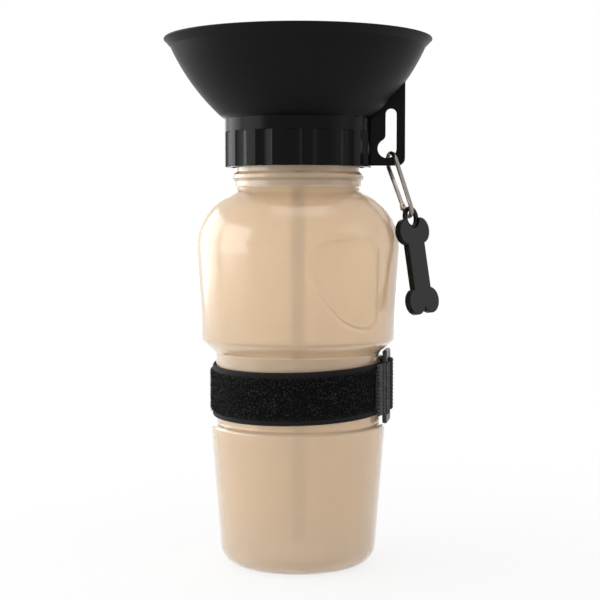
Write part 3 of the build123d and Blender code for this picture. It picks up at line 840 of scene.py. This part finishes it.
def stitchLines():
    shape = stitchShape
    rows = []
    for height in (-shape["pileHeight"], shape["pileHeight"]):
        azimuths = np.radians(np.linspace(*pileShape["turns"], shape["pileSteps"]))
        rows.append([onStrap(*fromFront(a, shape["pileRadius"]), height) for a in azimuths])
    for height in (-shape["sewnHeight"], shape["sewnHeight"]):
        turns = np.linspace(*shape["sewnTurns"], shape["sewnSteps"])
        rows.append([onStrap(*beyondRing(turn, shape["sewnRadius"]), height) for turn in turns])
    verts, edges = [], []
    for row in rows:
        edges += [(len(verts) + k, len(verts) + k + 1) for k in range(len(row) - 1)]
        verts += row
    data = bpy.data.meshes.new("stitchLines")
    data.from_pydata([tuple(v) for v in verts], edges, [])
    piece = bpy.data.objects.new("stitches", data)
    scene.collection.objects.link(piece)
    return piece


# rates are radians for a metre along or up the strip
webbingLook = {
    "sockets": {"Sheen Weight": 0.08, "Specular IOR Level": 0.2},
    "threadRate": 5200,
    "slantRate": 2100,
    "slant": 2.4,
    "dark": grey(0.004),
    "light": grey(0.022),
    # painted light: the tail is the band's black webbing, painted much lighter for the light that falls on
    # it
    "tailPaintedLight": grey(0.22),
    "paleEnd": grey(0.16),
    "paleEndFrom": (7.1, 7.3),  # along the tail
    "roughness": 0.75,
    "grainRoughness": 0.2,
    "grainScale": 700,
    "weaveDepth": 0.12,
    "weaveStrength": 0.7,
}

pileLook = {
    "sockets": {"Roughness": 0.95, "Sheen Weight": 0.03, "Specular IOR Level": 0.08},
    "speckScale": 1500,
    "speckRange": (0.5, 0.72),
    "patchScale": 120,
    "dark": grey(0.003),
    "light": (0.09, 0.087, 0.084),
}


def clothOfWebbing(name, light, paleEndFrom=None):
    # woven threads, and a paler end that begins and is full at the two distances along given last
    look = webbingLook
    finish = Finish(name, look["sockets"])
    along, up = finish.axes(finish.chart)[:2]
    slant = abs((up * look["slantRate"]).sine()) * look["slant"]
    weave = (along * look["threadRate"] + slant).sine() * 0.5 + 0.5
    grain = finish.noise(look["grainScale"], detail=3)
    color = finish.mix(weave * grain, look["dark"], light)
    if paleEndFrom:
        start, full = paleEndFrom
        color = finish.mix(finish.between(along, start * mm, full * mm), color, look["paleEnd"])
    finish.give("Base Color", color)
    finish.give("Roughness", look["roughness"] + grain * look["grainRoughness"])
    finish.bump(weave + grain, look["weaveDepth"], look["weaveStrength"])
    return finish


def clothOfPile():
    look = pileLook
    finish = Finish("blackPile", look["sockets"])
    speck = finish.between(finish.noise(look["speckScale"], detail=3), *look["speckRange"])
    patch = finish.noise(look["patchScale"], detail=3)
    finish.give("Base Color", finish.mix(speck * patch, look["dark"], look["light"]))
    return finish


ribs, fibres, stitches = ribTree(), fibreTree(), stitchTree()
height, thickness = strapShape["height"], strapShape["thickness"]
webbingCloth = clothOfWebbing("blackWebbing", webbingLook["light"])
webbing = ribbon("webbing", webbingLine(), height, thickness, webbingCloth, strapShape["step"])
ribs.grow(webbing, webbingCloth, **strapShape["ribs"])
# the tail's cloth is the webbing's cloth with painted light in its lighter grey
tailClothPaintedLight = clothOfWebbing("blackTail", webbingLook["tailPaintedLight"], webbingLook["paleEndFrom"])
tail = ribbon("webbingTail", tailLine(), height, thickness, tailClothPaintedLight, tailShape["step"])
ribs.grow(tail, tailClothPaintedLight, **strapShape["ribs"])
pileCloth = clothOfPile()
pile = pilePatch(pileCloth)
fibres.grow(pile, pileCloth, **pileShape["fibres"])
hookPlastic = plain(*hookShape["finish"])
thin, step = hookShape["thickness"], hookShape["step"]
hooks = ribbon("hooks", hookLine(), pileShape["height"], thin, hookPlastic, step)
fibres.grow(hooks, hookPlastic, **hookShape["fibres"])
seams = stitchLines()
stitches.grow(seams, plain(*stitchShape["finish"]), Pitch=stitchShape["pitch"])
for piece, body, node, slot in (
    (webbing, "bottle", "strap_webbing", "webbing_fabric"),
    (pile, "bottle", "strap_loop_pile", "pile_fabric"),
    (seams, "bottle", "strap_stitches", "thread_fabric"),
    (tail, "tail", "strap_tail", "webbing_fabric"),
    (hooks, "tail", "strap_hook_tape", "hook_plastic"),
):
    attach(piece, body)
    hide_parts(node)
    print("strap:", piece.name, len(piece.data.polygons), "faces")


view = {"lens": 82.4, "place": (0.00082, -0.562, 0.1425), "pitch": 3.551}
camera = bpy.data.objects.new("camera", bpy.data.cameras.new("camera"))
camera.data.lens = view["lens"]
camera.location = view["place"]
camera.rotation_euler = (radians(90 - view["pitch"]), 0, 0)
scene.collection.objects.link(camera)
scene.camera = camera

# places and sizes of the studio are in metres
studio = {
    "world": 0.51,  # its light on the object; what looks at the world sees white
    "target": (0, 0, 0.11),
    "boxes": {
        "leftBox": {"place": (-0.87, -0.23, 0.25), "size": (0.62, 0.7), "power": 4},
        "leftRearBox": {"place": (-0.80, 0.42, 0.25), "size": (0.6, 0.7), "power": 4},
        "rightBox": {"place": (0.85, -0.30, 0.30), "size": (0.35, 0.8), "power": 0.6},
        "topBox": {"place": (0.05, -0.25, 1.0), "size": (0.8, 0.6), "power": 1.8},
        "backBox": {"place": (0.0, 0.9, 0.35), "size": (1.0, 0.8), "power": 3},
    },
    "floorReach": 6.0,
    "floorSockets": {"Base Color": (0.93, 0.93, 0.93, 1), "Roughness": 0.8},
    "floorWhite": 0.8,  # share of plain white close to the bottle, where the floor keeps its shadow
    "shadowFade": (0.08, 0.3),
}


def softbox(name, place, size, power):
    lamp = bpy.data.lights.new(name, "AREA")
    lamp.shape = "RECTANGLE"
    lamp.size, lamp.size_y = size
    lamp.energy = power
    holder = bpy.data.objects.new(name, lamp)
    holder.location = place
    aim = Vector(studio["target"]) - Vector(place)
    holder.rotation_euler = aim.to_track_quat("-Z", "Y").to_euler()
    scene.collection.objects.link(holder)


def lookingRays(builder):
    # above 0 for what the camera sees, straight or by way of gloss and glass
    rays = builder.node("ShaderNodeLightPath")
    kinds = ("Camera", "Glossy", "Transmission")
    return sum(builder.value(rays.outputs[f"Is {kind} Ray"]) for kind in kinds)


def buildWorld():
    world = bpy.data.worlds.new("studio")
    scene.world = world
    world.use_nodes = True
    sky = Builder(world.node_tree)
    sockets = {"Value": lookingRays(sky), "To Min": studio["world"], "To Max": 1.0}
    strength = sky.node("ShaderNodeMapRange", None, sockets)
    sockets = {"Color": (1, 1, 1, 1), "Strength": strength.outputs[0]}
    background = sky.node("ShaderNodeBackground", None, sockets)
    sky.node("ShaderNodeOutputWorld", None, {"Surface": background.outputs[0]})


def buildFloor():
    finish = Finish("paleFloor", studio["floorSockets"])
    glow = finish.node("ShaderNodeEmission", None, {"Color": (1, 1, 1, 1), "Strength": 1.0})
    distance = finish.node("ShaderNodeVectorMath", {"operation": "LENGTH"}, {0: finish.place})
    far = finish.between(finish.value(distance.outputs["Value"]), *studio["shadowFade"])
    white = studio["floorWhite"]
    share = lookingRays(finish) * (far * (1 - white) + white)
    sockets = {0: share, 1: finish.surface.outputs[0], 2: glow.outputs[0]}
    blend = finish.node("ShaderNodeMixShader", None, sockets)
    finish.feed(finish.output.inputs["Surface"], blend.outputs[0])
    reach = studio["floorReach"]
    corners = [(-reach, -reach, 0), (reach, -reach, 0), (reach, reach, 0), (-reach, reach, 0)]
    meshPiece("floor", corners, [(0, 1, 2, 3)], finish)


for name, box in studio["boxes"].items():
    softbox(name, **box)
buildWorld()
buildFloor()
print("studio ready")
